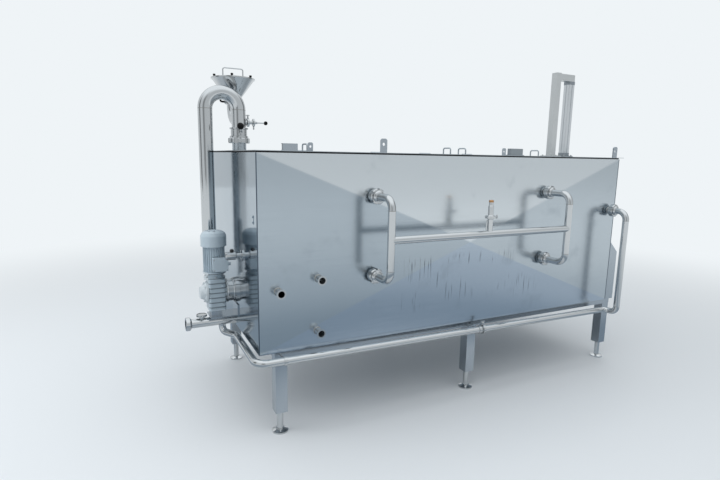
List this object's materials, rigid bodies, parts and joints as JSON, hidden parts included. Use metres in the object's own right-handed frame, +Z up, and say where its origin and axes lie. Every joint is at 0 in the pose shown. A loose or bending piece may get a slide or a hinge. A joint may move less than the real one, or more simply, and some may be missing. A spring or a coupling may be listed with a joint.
{
  "type": "butter melter",
  "caption": "Insulated stainless butter melting tank on legs with gear motor pump, return pipe, dosing hopper, hot water pipes and hinged lids.",
  "frame": {"origin": "centre of the bounding box at floor level", "axes": "+X along the tank towards the air cylinder, +Y to the back, +Z up"},
  "size_m": [2.968, 1.4229, 2.083],
  "materials": {
    "satin_stainless": "satin stainless sheet, fine lengthwise grain",
    "mirror_stainless": "nearly mirror bright stainless sheet",
    "polished_stainless": "polished stainless tube and turned fittings",
    "ground_steel": "ground machine steel",
    "blue_grey_paint": "semi-gloss light blue-grey machine enamel",
    "black_seal": "matt black food seal rubber",
    "mineral_wool": "pressed mineral wool slab, hidden in the walls",
    "black_ball": "glossy black moulded knobs and grips",
    "black_nylon": "matt dark moulded plastic",
    "orange_brass": "tarnished orange brass",
    "anodised_profile": "clear anodised aluminium profile"
  },
  "bodies": {
    "machine": {"base_frame": "satin_stainless", "bottom_cover": "satin_stainless", "circulation_left": "polished_stainless", "circulation_right": "polished_stainless", "cylinder_barrel": "anodised_profile", "cylinder_ends": "black_nylon", "discharge_pipe": "polished_stainless", "fan_cover": "blue_grey_paint", "front_panel": "satin_stainless", "front_stubs": "polished_stainless", "gearbox": "blue_grey_paint", "gearbox_bracket": "satin_stainless", "hopper": "polished_stainless", "hopper_valve": "polished_stainless", "inner_tank": "satin_stainless", "insulation": "mineral_wool", "left_panel": "mirror_stainless", "level_sensor": "polished_stainless", "lid_hinges": "satin_stainless", "lid_switch": "black_nylon", "lifting_lugs": "satin_stainless", "limb_valve": "polished_stainless", "manifold_bar": "polished_stainless", "manifold_left": "polished_stainless", "manifold_right": "polished_stainless", "mast": "satin_stainless", "melting_grid": "satin_stainless", "motor_housing": "blue_grey_paint", "outlet_pipe": "polished_stainless", "pipe_clamps": "polished_stainless", "pump_casing": "polished_stainless", "rear_panel": "satin_stainless", "return_pipe": "polished_stainless", "right_panel": "satin_stainless", "rim_seal": "black_seal", "sampler_valve": "polished_stainless", "terminal_box": "blue_grey_paint", "top_deck": "satin_stainless", "union_nuts": "polished_stainless", "vent_cap": "orange_brass", "vent_valve": "polished_stainless", "water_jackets": "satin_stainless"},
    "lid_left": {"lid_left": "satin_stainless"},
    "lid_right": {"lid_right": "satin_stainless"},
    "motor_rotor": {"motor_shaft": "ground_steel"},
    "pump_wheel": {"pump_rotor": "ground_steel"},
    "limb_lever": {"limb_valve_lever": "polished_stainless", "limb_valve_knob": "black_ball"},
    "sampler_stem": {"sampler_spindle": "polished_stainless", "sampler_knob": "black_ball"},
    "hopper_lever": {"hopper_valve_lever": "black_ball"},
    "hopper_cover": {"hopper_lid": "polished_stainless", "hopper_screws": "black_ball"},
    "presser": {"presser": "satin_stainless"},
    "foot_front_left": {"foot_front_left": "polished_stainless"},
    "foot_front_middle": {"foot_front_middle": "polished_stainless"},
    "foot_front_right": {"foot_front_right": "polished_stainless"},
    "foot_rear_left": {"foot_rear_left": "polished_stainless"},
    "foot_rear_middle": {"foot_rear_middle": "polished_stainless"},
    "foot_rear_right": {"foot_rear_right": "polished_stainless"}
  },
  "joints": [
    {"name": "lid_left_hinge", "type": "hinge", "parent": "machine", "child": "lid_left", "pos_m": [-0.4465, 0.2095, 1.506], "axis": [-1, 0, 0], "range_deg": [0, 95]},
    {"name": "lid_right_hinge", "type": "hinge", "parent": "machine", "child": "lid_right", "pos_m": [0.416, 0.2095, 1.506], "axis": [-1, 0, 0], "range_deg": [0, 95]},
    {"name": "motor_spin", "type": "hinge", "parent": "machine", "child": "motor_rotor", "pos_m": [-1.314, 0.0345, 0.88], "axis": [0, 0, 1], "continuous": true},
    {"name": "pump_spin", "type": "hinge", "parent": "machine", "child": "pump_wheel", "pos_m": [-1.244, 0.0345, 0.69], "axis": [1, 0, 0], "continuous": true},
    {"name": "limb_valve_turn", "type": "hinge", "parent": "machine", "child": "limb_lever", "pos_m": [-1.091, 0.3095, 1.61], "axis": [0, -1, 0], "range_deg": [0, 90]},
    {"name": "sampler_turn", "type": "hinge", "parent": "machine", "child": "sampler_stem", "pos_m": [-0.994, 0.3095, 1.675], "axis": [1, 0, 0], "range_deg": [0, 360]},
    {"name": "hopper_valve_turn", "type": "hinge", "parent": "machine", "child": "hopper_lever", "pos_m": [-1.151, 0.4395, 1.805], "axis": [-1, 0, 0], "range_deg": [0, 90]},
    {"name": "hopper_lid_lift", "type": "slide", "parent": "machine", "child": "hopper_cover", "axis": [0, 0, 1], "range_m": [0, 0.1]},
    {"name": "presser_travel", "type": "slide", "parent": "machine", "child": "presser", "axis": [0, 0, 1], "range_m": [-0.4, 0]},
    {"name": "foot_front_left_height", "type": "slide", "parent": "machine", "child": "foot_front_left", "axis": [0, 0, 1], "range_m": [-0.04, 0.03]},
    {"name": "foot_front_middle_height", "type": "slide", "parent": "machine", "child": "foot_front_middle", "axis": [0, 0, 1], "range_m": [-0.04, 0.03]},
    {"name": "foot_front_right_height", "type": "slide", "parent": "machine", "child": "foot_front_right", "axis": [0, 0, 1], "range_m": [-0.04, 0.03]},
    {"name": "foot_rear_left_height", "type": "slide", "parent": "machine", "child": "foot_rear_left", "axis": [0, 0, 1], "range_m": [-0.04, 0.03]},
    {"name": "foot_rear_middle_height", "type": "slide", "parent": "machine", "child": "foot_rear_middle", "axis": [0, 0, 1], "range_m": [-0.04, 0.03]},
    {"name": "foot_rear_right_height", "type": "slide", "parent": "machine", "child": "foot_rear_right", "axis": [0, 0, 1], "range_m": [-0.04, 0.03]}
  ],
  "couplings": [
    {"joint": "pump_spin", "follows": "motor_spin", "ratio": -0.33333}
  ]
}
